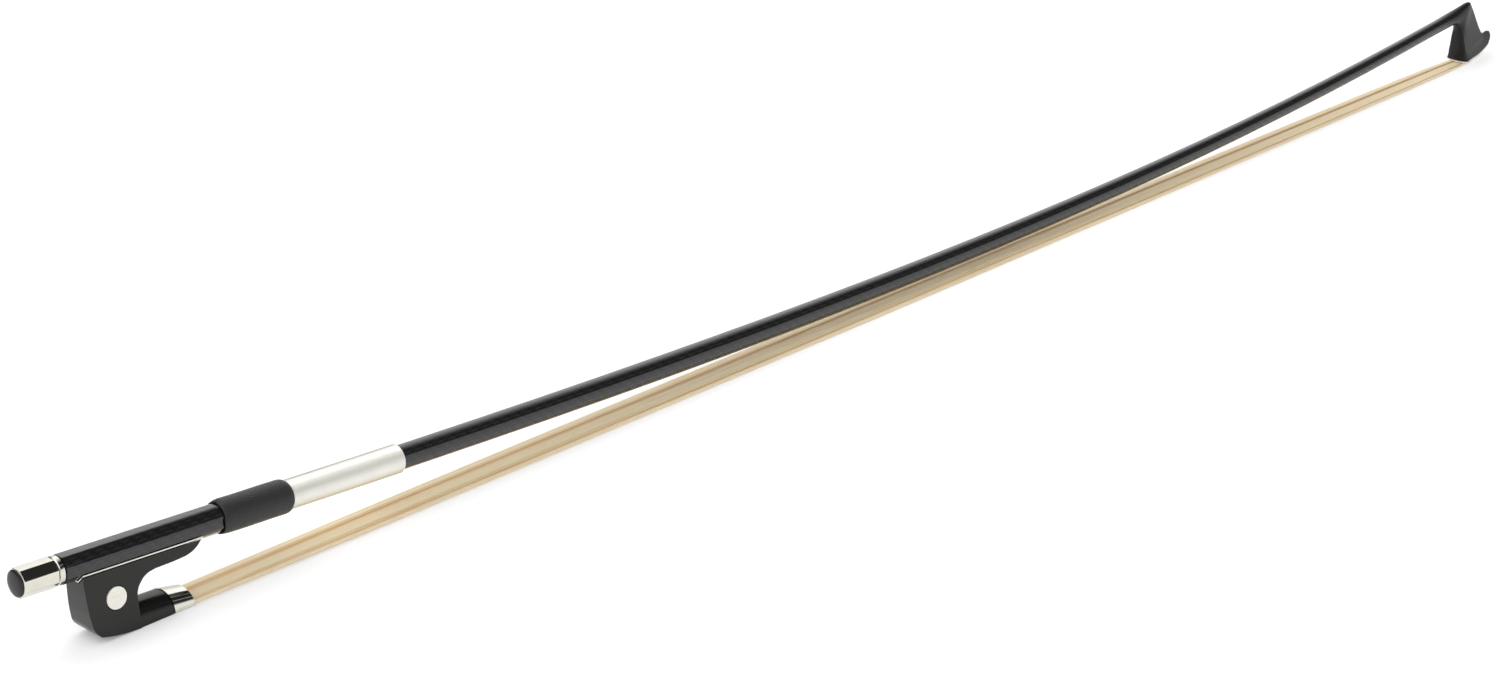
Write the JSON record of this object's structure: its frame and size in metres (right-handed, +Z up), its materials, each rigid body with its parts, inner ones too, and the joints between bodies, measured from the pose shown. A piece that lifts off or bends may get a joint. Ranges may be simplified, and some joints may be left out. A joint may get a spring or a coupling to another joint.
{
  "type": "violin bow",
  "caption": "Violin bow with a cambered black stick, silver-mounted frog, thumb leather, wire winding and a loosened ribbon of horsehair.",
  "frame": {"origin": "on the plane that the frog and the tip plate rest on, under the middle of the bow's length", "axes": "+X from the button to the tip, +Z up from the hair to the stick, +Y to the left of a player who looks along +X"},
  "size_m": [0.7451, 0.0137, 0.031],
  "materials": {
    "carbon": "clear gloss over black carbon weave",
    "frog_black": "polished black",
    "silver": "mirror-polished silver",
    "silver_wire": "close-wound silver wire",
    "steel": "bright",
    "brass": "plain",
    "pearl": "polished mother-of-pearl",
    "ivory_white": "smooth white",
    "leather_black": "fine pebbled grain",
    "horsehair": "natural cream",
    "maple": "plain cut",
    "binding_thread": "waxed"
  },
  "bodies": {
    "stick": {"stick": "carbon", "tip_plate": "ivory_white", "head_plug": "maple", "head_hair_knot": "binding_thread", "hair_ribbon": "horsehair", "thumb_leather": "leather_black", "silver_winding": "silver_wire"},
    "frog": {"frog_body": "frog_black", "ferrule": "silver", "slide_base": "frog_black", "pearl_slide": "pearl", "underslide": "silver", "underslide_pin_front": "silver", "underslide_pin_rear": "silver", "pearl_eye_near": "pearl", "pearl_eye_far": "pearl", "eyelet": "brass", "frog_plug": "maple", "frog_hair_knot": "binding_thread", "spread_wedge": "maple"},
    "screw": {"screw": "steel", "button_core": "frog_black", "button_sleeve": "silver", "button_collar": "silver"}
  },
  "joints": [
    {"name": "screw_turn", "type": "hinge", "parent": "stick", "child": "screw", "pos_m": [-0.3725, 0, 0.0266], "axis": [0.9978, 0, -0.0669], "range_deg": [-2160, 2160]},
    {"name": "frog_slide", "type": "slide", "parent": "stick", "child": "frog", "axis": [0.9978, 0, -0.0669], "range_m": [-0.0042, 0.0042], "deforming": ["hair_ribbon"]}
  ],
  "couplings": [
    {"joint": "screw_turn", "follows": "frog_slide", "rad_per_m": -8976}
  ]
}
